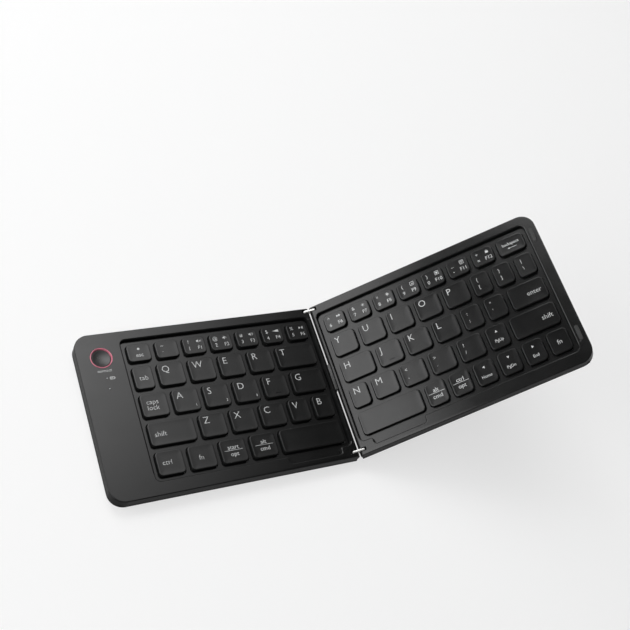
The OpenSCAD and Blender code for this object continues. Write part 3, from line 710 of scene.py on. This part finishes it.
shaft_run = ((-0.5 * bar_w - 0.04, 0.5), (-0.5 * bar_w - 0.02, 0.72), (-0.5 * bar_w + 0.1, 0.8),
             (0.5 * bar_w + 2.2, 0.8), (0.5 * bar_w + 2.3, 0.7))
shafts = bmesh.new()
for place, inward in (("front", 1), ("back", -1)):
    for x in (-axis_u, axis_u):
        stack_loops(shafts, [[(x + px, bar_y[place] + inward * off, axis_z + py)
                              for px, py, _ in turned([(r, 0)], 0.0, 32)[0]]
                             for off, r in shaft_run])
shafts.transform(flat["link"])
add_piece("ground_shafts", shafts, "hinge_link", shaft_steel, "shaft_steel", ("hinge_shafts",))
for side in ("left", "right"):
    dress(side + "_hinge_brackets", bracket_steel)

# ------------------------------------------------------------------------------------------
# Flex sleeve. A ribbon cable in a soft black rubber sheath crosses the gap in the middle. Its
# two lips lie between the rolled edges and are squeezed flat as the case is shut.
# ------------------------------------------------------------------------------------------
sleeve_rubber = finish("sleeve_rubber", (0.022, 0.0225, 0.0222), 0.38, 0.2, 0.25, 0.15, 0.06)
sleeve_y = (42.2, 59.2)
sleeve_low = -1.6
sleeve_t = 0.54
lip_foot = 1.7
lip_section = [(0.04, 1.2), (0.58, 1.32), (0.82, 1.6), (0.93, 1.84), (0.88, 1.98), (0.74, 2.09),
               (0.5, 2.16), (0.25, 2.19), (0.04, 2.2)]

sleeve = bmesh.new()
sleeve_rows = [(0.1, sleeve_low), (0.0, sleeve_low + 0.1), (0.0, 1.75), (0.05, 1.85), (0.15, 1.9)]
stack_loops(sleeve, [rounded_loop(sleeve_t, sleeve_y[1] - sleeve_y[0], 0.25, inset, axis_z + z)
                     for inset, z in sleeve_rows], (0, sum(sleeve_y) / 2, 0))
sleeve.transform(flat["link"])
add_piece("cable_sleeve", sleeve, "hinge_link", sleeve_rubber, "sleeve_rubber", ("flex_sleeve",))

lip_anchor = flat["link"] @ Vector((0, sum(sleeve_y) / 2, axis_z + lip_foot))
lip_along = (flat["link"].to_3x3() @ Vector((1, 0, 0))).normalized()
lip_ends = ((sleeve_y[0] + 0.3, 0.8), (sleeve_y[0] + 0.36, 0.93), (sleeve_y[0] + 0.55, 1.0),
            (sleeve_y[1] - 0.55, 1.0), (sleeve_y[1] - 0.36, 0.93), (sleeve_y[1] - 0.3, 0.8))
for side, out in (("left", -1), ("right", 1)):
    lip = bmesh.new()
    stack_loops(lip, [[(out * x * share, y, axis_z + lip_foot + (z - lip_foot) * share)
                       for x, z in lip_section] for y, share in lip_ends])
    lip.transform(flat["link"])
    piece = add_piece(side + "_sleeve_lip", lip, "hinge_link", sleeve_rubber, "sleeve_rubber")
    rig.squash(piece, side + "_fold", lip_along, lip_anchor, keep=0.27)

# ------------------------------------------------------------------------------------------
# Bumper pads. Two soft rubber buttons glued in pockets near the outer edge of the right half;
# they keep the keys clear of the other half when the case is shut.
# ------------------------------------------------------------------------------------------
pad_rubber = finish("pad_rubber", (0.016, 0.0163, 0.0162), 0.5, 0.2, 0.3, 0.15, 0.06, shine=0.35)
pad_u, pad_y = half_w - 3.6, (17.3, depth - 14.3)
pad_w, pad_l, pad_in, pad_proud = 2.3, 9.4, 0.5, 0.25
pads = bmesh.new()
for y in pad_y:
    soft_block(pads, (pad_u, y), pad_w, pad_l, 1.14, top_z - pad_in, top_z + pad_proud, 0.2)
pads.transform(flat["right"])
add_piece("soft_bumper_pads", pads, "right_half", pad_rubber, "pad_rubber", ("bumper_pads",))

# ------------------------------------------------------------------------------------------
# Screws. Blackened steel pan heads with a cross recess, sunk in the counterbores of the bottom
# shells; they hold the two shells and the hinge brackets together.
# ------------------------------------------------------------------------------------------
screw_black = finish("screw_black", (0.09, 0.09, 0.095), 0.34, 0.25, 0.3, 0.1, 0.06, metallic=1.0)
for side in ("left", "right"):
    dress(side + "_screws", screw_black)

# ------------------------------------------------------------------------------------------
# Charging socket. A drawn steel shell in the back edge with a rolled mouth, and in it a black
# tongue that carries a row of gold contacts on each face.
# ------------------------------------------------------------------------------------------
socket_w, socket_h = 8.94, 3.16
socket_low, socket_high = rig.box("charge_socket")
socket_at = (-131.2, socket_low.y / mm - front_y / mm, (socket_low.z + socket_high.z) / 2 / mm)
tongue_w, tongue_t = 6.6, 0.7
contact_w, contact_l, first_contact, contact_pitch = 0.25, 3.4, -2.75, 0.5
tongue_black = finish("tongue_black", (0.012, 0.012, 0.012), 0.4, 0.2, 0.2)
contact_gold = finish("contact_gold", (0.80, 0.55, 0.22), 0.28, 0.1, 0.1, 0.05, metallic=1.0)


def lying(loop):
    """Stands a row of points upright, so that its height runs along the depth of the case."""
    return [(x, z, y) for x, y, z in loop]


shell_rows = ((0.2, 0.0), (0.0, 0.2), (0.0, 6.8), (0.07, 6.95), (0.15, 7.0), (0.23, 6.95),
              (0.3, 6.8), (0.3, 1.0))
shell = bmesh.new()
stack_loops(shell, [lying(rounded_loop(socket_w, socket_h, socket_h / 2, inset, run))
                    for inset, run in shell_rows], socket_at)
shell.transform(flat["left"])
add_piece("socket_shell", shell, "left_half", plated_steel, "socket_steel", ("charge_socket",))

tongue = bmesh.new()
stack_loops(tongue, [lying(rounded_loop(tongue_w, tongue_t, 0.12, inset, run))
                     for inset, run in ((0.0, 0.9), (0.0, 5.7), (0.1, 5.9))], socket_at)
tongue.transform(flat["left"])
add_piece("socket_tongue", tongue, "left_half", tongue_black)

contacts = bmesh.new()
for i in range(12):
    for face in (-1, 1):
        made = len(contacts.verts)
        soft_block(contacts, (0, 0), contact_w, contact_l, 0.06, 0.3 * face, 0.37 * face, 0.02, 1)
        contacts.verts.ensure_lookup_table()
        for v in contacts.verts[made:]:
            v.co += Vector((first_contact + contact_pitch * i, 3.8, 0))
contacts.transform(Matrix.Translation(socket_at))
contacts.transform(flat["left"])
add_piece("socket_contacts", contacts, "left_half", contact_gold)

# ------------------------------------------------------------------------------------------
# Key caps. Low square caps with rounded corners, moulded in black plastic, hollow below and
# barely dished on top; the two home keys carry a short raised bar for the fingertips.
# ------------------------------------------------------------------------------------------
# The up direction gives the walls of these caps painted light and shade.
cap_plastic = {side: finish(side + "_cap_plastic", (0.0048, 0.0049, 0.0049), 0.19, 0.18, 0.06,
                            smear=0.02, shine=0.4, up=up_of[side]) for side in ("left", "right")}
cap_base_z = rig.box("esc_key")[0].z / mm
cap_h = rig.box("esc_key")[1].z / mm - cap_base_z
cap_corner_r = 2.4
cap_wall = 1.0
cap_roof = 0.9
cap_draft = 0.12
cap_edge = 0.26
dish = 0.06
dish_reach = 3.4


def cap_top(w, d, x, y):
    """Height of a cap's top at x and y from its middle, edge rounding left out."""
    inside = min(w / 2 - abs(x), d / 2 - abs(y)) - cap_draft - cap_edge
    share = min(max(inside / dish_reach, 0), 1)
    return cap_base_z + cap_h - dish * (1 - (1 - share) ** 2)


def key_cap(bm, w, d, centre):
    """One cap: roof and walls from below, a drafted skirt, a rounded edge and the dish."""
    r, top = cap_corner_r, cap_base_z + cap_h
    loops = [rounded_loop(w, d, r, cap_wall + 0.5, top - cap_roof),
             rounded_loop(w, d, r, cap_wall, top - cap_roof - 0.4),
             rounded_loop(w, d, r, cap_wall, cap_base_z + 0.1),
             rounded_loop(w, d, r, cap_wall - 0.1, cap_base_z),
             rounded_loop(w, d, r, 0.1, cap_base_z),
             rounded_loop(w, d, r, 0, cap_base_z + 0.1)]
    for i in range(6):
        a = math.pi / 2 * i / 5
        inset = cap_draft + cap_edge * (1 - math.cos(a))
        loops.append(rounded_loop(w, d, r, inset, top - cap_edge * (1 - math.sin(a))))
    for share in (0.15, 0.35, 0.6, 1.0):
        inset = cap_draft + cap_edge + share * dish_reach
        loops.append(rounded_loop(w, d, r, inset, top - dish * (1 - (1 - share) ** 2)))
    stack_loops(bm, loops, (*centre, 0))


def home_bar(bm, centre, surface_z):
    """The fingertip bar of the home keys, 3.6 mm long and 0.2 mm high."""
    soft_block(bm, centre, 3.6, 0.6, 0.29, surface_z - 0.1, surface_z + 0.2, 0.18)


# ------------------------------------------------------------------------------------------
# Key legends. Pad printed in light grey ink on the caps: letters at the upper left, words at
# the lower left, and small signs for the second use of a key.
# ------------------------------------------------------------------------------------------
ink_white = finish("legend_ink", (0.55, 0.56, 0.56), 0.5, 0.12, 0.2, 0.05)
ink_t = 0.018
capital = 0.682
thinning, thin_above = 0.014, 2.5
writing = bpy.data.curves.new("writing", "FONT")
writing.extrude = 1.0
writing.resolution_u = 3
writer = bpy.data.objects.new("writing", writing)
scene.collection.objects.link(writer)


def print_text(bm, text, height, x, y, align="CENTER"):
    """Prints text of that capital height, its middle line at y, as a film of ink."""
    writing.body = text
    writing.align_x = align
    writing.size = height / capital
    writing.offset = -thinning * height if height > thin_above else 0.0
    bpy.context.view_layer.update()
    drawn = writer.evaluated_get(bpy.context.evaluated_depsgraph_get())
    mesh = drawn.to_mesh()
    squeeze = Matrix.Diagonal((1, 1, ink_t, 1))
    mesh.transform(Matrix.Translation((x, y - height / 2, 0)) @ squeeze)
    bm.from_mesh(mesh)
    drawn.to_mesh_clear()


def print_patch(bm, points, x, y):
    """Prints one filled sign through points about x and y."""
    low = [bm.verts.new((x + px, y + py, -ink_t)) for px, py in points]
    high = [bm.verts.new((x + px, y + py, ink_t)) for px, py in points]
    bm.faces.new(low[::-1])
    bm.faces.new(high)
    for i in range(len(points)):
        j = (i + 1) % len(points)
        bm.faces.new((low[i], low[j], high[j], high[i]))


def print_bar(bm, x0, y0, x1, y1, width):
    """Prints one straight stroke."""
    along = Vector((x1 - x0, y1 - y0)).normalized() * width / 2
    across = Vector((-along.y, along.x))
    corners = [Vector((x0, y0)) - across, Vector((x1, y1)) - across,
               Vector((x1, y1)) + across, Vector((x0, y0)) + across]
    print_patch(bm, [tuple(c) for c in corners], 0, 0)


def print_arc(bm, x, y, r, start, end, width=0.22, steps=10):
    """Prints a curved stroke of radius r between two angles in degrees."""
    inner, outer = [], []
    for i in range(steps + 1):
        a = math.radians(start + (end - start) * i / steps)
        inner.append(((r - width / 2) * math.cos(a), (r - width / 2) * math.sin(a)))
        outer.append(((r + width / 2) * math.cos(a), (r + width / 2) * math.sin(a)))
    for i in range(steps):
        print_patch(bm, [inner[i], outer[i], outer[i + 1], inner[i + 1]], x, y)


def dot(r, steps=20):
    """Points of a round dot."""
    turns = [2 * math.pi * i / steps for i in range(steps)]
    return [(r * math.cos(a), r * math.sin(a)) for a in turns]


def speaker(bm, x, y, waves):
    """Loudspeaker sign, with a cross for mute or one or two sound waves."""
    print_patch(bm, [(-1.5, -0.4), (-0.9, -0.4), (-0.2, -1.0), (-0.2, 1.0), (-0.9, 0.4),
                     (-1.5, 0.4)], x, y)
    if waves == 0:
        print_bar(bm, x + 0.4, y - 0.5, x + 1.4, y + 0.5, 0.24)
        print_bar(bm, x + 0.4, y + 0.5, x + 1.4, y - 0.5, 0.24)
    for i in range(waves):
        print_arc(bm, x, y, 0.6 + 0.55 * i, -50, 50)


def skip(bm, x, y, way):
    """Two arrowheads, back or forward."""
    for shift in (-1.3, 0.0):
        head = [(shift if way > 0 else -shift, -0.8), (way * (shift * way + 1.3), 0.0),
                (shift if way > 0 else -shift, 0.8)]
        print_patch(bm, head if way > 0 else head[::-1], x, y)


def play_pause(bm, x, y):
    """Play arrowhead and two pause bars."""
    print_patch(bm, [(-1.5, -0.8), (-0.2, 0.0), (-1.5, 0.8)], x, y)
    for shift in (0.5, 1.1):
        print_bar(bm, x + shift, y - 0.8, x + shift, y + 0.8, 0.3)


def sun(bm, x, y, r):
    """Brightness sign: a disc with eight short rays."""
    print_patch(bm, dot(r), x, y)
    for i in range(8):
        c, s = math.cos(math.pi * i / 4), math.sin(math.pi * i / 4)
        print_bar(bm, x + (r + 0.2) * c, y + (r + 0.2) * s, x + (r + 0.6) * c,
                  y + (r + 0.6) * s, 0.2)


def sheet_sign(bm, x, y, second):
    """A framed sheet, with a smaller one or a stroke on it."""
    for x0, y0, x1, y1 in ((-1.1, -1.1, 1.1, -1.1), (1.1, -1.1, 1.1, 1.1), (1.1, 1.1, -1.1, 1.1),
                           (-1.1, 1.1, -1.1, -1.1)):
        print_bar(bm, x + x0, y + y0, x + x1, y + y1, 0.24)
    if second == "fold":
        print_patch(bm, [(-0.5, -0.5), (0.5, -0.5), (0.5, 0.5)], x, y)
    elif second == "lines":
        for level in (-0.4, 0.1, 0.6):
            print_bar(bm, x - 0.6, y + level, x + 0.6, y + level, 0.2)
    else:
        print_patch(bm, [(-0.55, -0.55), (0.55, -0.55), (0.55, 0.55), (-0.55, 0.55)], x, y)


def padlock(bm, x, y):
    """Lock sign."""
    print_patch(bm, [(-0.9, -1.1), (0.9, -1.1), (0.9, 0.1), (-0.9, 0.1)], x, y)
    print_arc(bm, x, y + 0.15, 0.55, 0, 180)


second_signs = [lambda bm, x, y: speaker(bm, x, y, 0), lambda bm, x, y: speaker(bm, x, y, 1),
                lambda bm, x, y: speaker(bm, x, y, 2), lambda bm, x, y: skip(bm, x, y, -1),
                play_pause, lambda bm, x, y: skip(bm, x, y, 1),
                lambda bm, x, y: sun(bm, x, y, 0.45), lambda bm, x, y: sun(bm, x, y, 0.65),
                lambda bm, x, y: sheet_sign(bm, x, y, "fold"),
                lambda bm, x, y: sheet_sign(bm, x, y, "window"),
                lambda bm, x, y: sheet_sign(bm, x, y, "lines"), padlock]
letter_h, small_h, word_h, tiny_h = 3.9, 2.1, 2.75, 1.45
word_in = 2.9
digit_in, second_in, upper_in, lower_in = 3.3, 9.6, 3.1, 7.2


def arrow_head(way):
    """Points of the small solid arrow, which looks left, right, up or down."""
    a = math.radians({"right": 0, "up": 90, "left": 180, "down": 270}[way])
    plain = ((0.75, 0.0), (-0.55, 0.8), (-0.55, -0.8))
    return [(x * math.cos(a) - y * math.sin(a), x * math.sin(a) + y * math.cos(a))
            for x, y in plain]


def print_legend(bm, kind, words, w, d):
    """Prints one key's legend about the middle of its cap, measured in from its edges."""
    left, back = -w / 2, d / 2
    if kind in ("letter", "letter_mark"):
        print_text(bm, words[0], letter_h, left + 2.3, back - 1.9 - letter_h / 2, "LEFT")
        if kind == "letter_mark":
            print_text(bm, words[1], tiny_h, -left - 2.6, -back + 3.2)
    elif kind == "number":
        print_text(bm, words[0], small_h, left + digit_in, back - upper_in)
        print_text(bm, words[1], small_h, left + digit_in, back - lower_in)
        print_text(bm, "F%d" % words[2], small_h, left + second_in, back - lower_in)
        second_signs[words[2] - 1](bm, left + second_in, back - upper_in)
    elif kind == "stacked":
        print_text(bm, words[0], 2.0, left + 3.7, back - 4.1)
        print_text(bm, words[1], 2.0, left + 3.7, back - 8.6)
    elif kind == "tilde":
        print_text(bm, "~", small_h, left + 4.0, back - upper_in)
        print_text(bm, "`", small_h, left + 4.0, back - 7.6)
    elif kind == "escape":
        print_patch(bm, dot(0.7), 0, back - 3.2)
        print_text(bm, "esc", 2.3, 0, back - 6.9)
    elif kind == "word":
        print_text(bm, words[0], word_h, left + word_in, -0.3 + words[1], "LEFT")
    elif kind == "two_words":
        print_text(bm, words[0], word_h, left + word_in, 1.9, "LEFT")
        print_text(bm, words[1], word_h, left + word_in, -1.6, "LEFT")
    elif kind == "end_word":
        print_text(bm, words[0], word_h, -left - word_in, -0.3, "RIGHT")
    elif kind == "middle_word":
        print_text(bm, words[0], word_h, words[1], -0.3)
    elif kind == "barred":
        print_text(bm, words[0], 2.4, 0, 2.1)
        print_bar(bm, -min(w, 13) / 2 + 1.2, 0.3, min(w, 13) / 2 - 1.2, 0.3, 0.22)
        print_text(bm, words[1], 2.4, 0, -1.9)
    elif kind == "arrow":
        print_patch(bm, arrow_head(words[0]), 0, 3.1)
        print_text(bm, words[1], 1.7, 0, -2.4)
    elif kind == "erase":
        print_text(bm, "backspace", 1.75, 0, 0.9)
        print_bar(bm, -1.6, -1.9, 3.0, -1.9, 0.24)
        print_patch(bm, [(-2.6, -1.9), (-1.4, -2.5), (-1.4, -1.3)], 0, 0)


letter_w, arrow_w, key_gap = 15.0, 12.0, 3.0


def number_keys(node, signs, first, width):
    """Entries of the number row: key node, width, kind of legend and what it says."""
    return [(node, width, "number", (sign, digit, first + i))
            for i, (sign, digit) in enumerate(signs)]


def letter_keys(node, letters, width=letter_w):
    """Entries of letter keys that are all as wide."""
    return [(node, width, "letter", (c,)) for c in letters]


left_row_w, right_row_w = 110.5, 128.5
tab_w, t_w, g_w, left_shift_w = 11.0, 24.5, 20.5, 26.0
backspace_w, h_w, quote_w, n_w = 16.5, 20.0, 11.8, 11.0
left_number_w = (left_row_w - 6 * key_gap) / 7
right_number_w = (right_row_w - backspace_w - 7 * key_gap) / 7
narrow_w = (right_row_w - 5 * letter_w - 7 * key_gap) / 3
left_home_w = (left_row_w - g_w - 5 * key_gap) / 5
left_low_w = (left_row_w - left_shift_w - 3 * letter_w - 5 * key_gap) / 2
left_space_w = left_row_w - 4 * letter_w - 4 * key_gap
enter_w = right_row_w - h_w - 3 * letter_w - 2 * quote_w - 6 * key_gap
right_shift_w = right_row_w - n_w - 4 * letter_w - arrow_w - 6 * key_gap
right_space_w = right_row_w - 6 * arrow_w - 6 * key_gap
rows = {
    "left": [
        [("esc_key", left_number_w, "escape", ()),
         ("left_number_keys", left_number_w, "tilde", ())]
        + number_keys("left_number_keys", ("!1", "@2", "#3", "$4", "%5"), 1, left_number_w),
        [("tab_key", tab_w, "word", ("tab", 0.0))] + letter_keys("qwert_keys", "QWER")
        + letter_keys("qwert_keys", "T", t_w),
        [("caps_lock_key", left_home_w, "two_words", ("caps", "lock")),
         ("asdfg_keys", left_home_w, "letter_mark", ("A", "1")),
         ("asdfg_keys", left_home_w, "letter_mark", ("S", "2")),
         ("asdfg_keys", left_home_w, "letter_mark", ("D", "3"))]
        + letter_keys("asdfg_keys", "F", left_home_w) + letter_keys("asdfg_keys", "G", g_w),
        [("left_shift_key", left_shift_w, "word", ("shift", 0.0))]
        + letter_keys("zxcvb_keys", "ZXC") + letter_keys("zxcvb_keys", "VB", left_low_w),
        [("left_ctrl_key", letter_w, "word", ("ctrl", 0.6)),
         ("left_fn_key", letter_w, "middle_word", ("fn", -0.8)),
         ("left_option_key", letter_w, "barred", ("start", "opt")),
         ("left_alt_key", letter_w, "barred", ("alt", "cmd")),
         ("left_space_key", left_space_w, "plain", ())],
    ],
    "right": [
        number_keys("right_number_keys", ("^6", "&7", "*8", "(9", ")0", "_-", "+="), 6,
                    right_number_w) + [("backspace_key", backspace_w, "erase", ())],
        letter_keys("yuiop_keys", "YUIOP")
        + [("yuiop_keys", narrow_w, "stacked", pair) for pair in ("{[", "}]", "|\\")],
        letter_keys("hjkl_keys", "H", h_w) + letter_keys("hjkl_keys", "JKL")
        + [("hjkl_keys", quote_w, "stacked", pair) for pair in (":;", "\"'")]
        + [("enter_key", enter_w, "end_word", ("enter",))],
        letter_keys("nm_keys", "N", n_w) + letter_keys("nm_keys", "M")
        + [("nm_keys", letter_w, "stacked", pair) for pair in ("<,", ">.", "?/")]
        + [("up_key", arrow_w, "arrow", ("up", "PgUp")),
           ("right_shift_key", right_shift_w, "end_word", ("shift",))],
        [("right_space_key", right_space_w, "plain", ()),
         ("right_alt_key", arrow_w, "barred", ("alt", "cmd")),
         ("right_ctrl_key", arrow_w, "barred", ("ctrl", "opt")),
         ("left_arrow_key", arrow_w, "arrow", ("left", "Home")),
         ("down_arrow_key", arrow_w, "arrow", ("down", "PgDn")),
         ("right_arrow_key", arrow_w, "arrow", ("right", "End")),
         ("right_fn_key", arrow_w, "middle_word", ("fn", 0.0))],
    ],
}
row_start = {"left": -116.5, "right": 6.8}
row_front = (78.1, 61.1, 44.1, 27.1, 10.1)
row_depth = (10.8, 14.0, 14.0, 14.0, 14.0)
home_bar_y = 4.3

caps, legends = {}, {}
for side, side_rows in rows.items():
    for row, keys in enumerate(side_rows):
        x = row_start[side]
        d = row_depth[row]
        y = row_front[row] + d / 2
        for node, w, kind, words in keys:
            middle = (x + w / 2, y)
            cap_bm = caps.setdefault(node, (side, bmesh.new()))[1]
            ink_bm = legends.setdefault(node, (side, bmesh.new()))[1]
            key_cap(cap_bm, w, d, middle)
            if words and words[0] in ("F", "J") and kind == "letter":
                home_bar(cap_bm, (middle[0], y - home_bar_y), cap_top(w, d, 0, home_bar_y))
            printed = len(ink_bm.verts)
            print_legend(ink_bm, kind, words, w, d)
            ink_bm.verts.ensure_lookup_table()
            for v in ink_bm.verts[printed:]:
                v.co = (v.co.x + middle[0], v.co.y + middle[1],
                        v.co.z + cap_top(w, d, v.co.x, v.co.y))
            x += w + key_gap

for node, (side, bm) in caps.items():
    body = frame["nodes"][node]["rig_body"]
    bm.transform(flat[side])
    add_piece(node.replace("_key", "_cap"), bm, body, cap_plastic[side], "key_cap", (node,))
    ink_bm = legends[node][1]
    if ink_bm.verts:
        bmesh.ops.remove_doubles(ink_bm, verts=ink_bm.verts, dist=1e-5)
        ink_bm.transform(flat[side])
        add_piece(node.replace("_key", "_legend"), ink_bm, body, ink_white)
    else:
        ink_bm.free()

# ------------------------------------------------------------------------------------------
# Marks on the strip. The word under the round button and a small battery sign beside the
# upper lamp, pad printed in the ink of the key legends.
# ------------------------------------------------------------------------------------------
battery_sign = (-127.9, 70.3)
connect_y = 75.2
strip_marks = bmesh.new()
print_text(strip_marks, "connect", 1.65, button_at[0], connect_y)
for x0, y0, x1, y1 in ((-1.3, -0.65, 1.1, -0.65), (1.1, -0.65, 1.1, 0.65),
                       (1.1, 0.65, -1.3, 0.65), (-1.3, 0.65, -1.3, -0.65),
                       (1.4, -0.25, 1.4, 0.25), (-1.0, 0.0, 0.3, 0.0)):
    print_bar(strip_marks, battery_sign[0] + x0, battery_sign[1] + y0,
              battery_sign[0] + x1, battery_sign[1] + y1, 0.32)
for v in strip_marks.verts:
    v.co.z += top_z
strip_marks.transform(flat["left"])
add_piece("strip_marks", strip_marks, "left_half", ink_white)

bpy.data.objects.remove(writer)
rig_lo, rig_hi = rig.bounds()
with open("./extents.json", "w") as out:
    json.dump({"cad": [list(v) for v in cad_box], "visual": [list(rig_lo), list(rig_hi)]}, out)
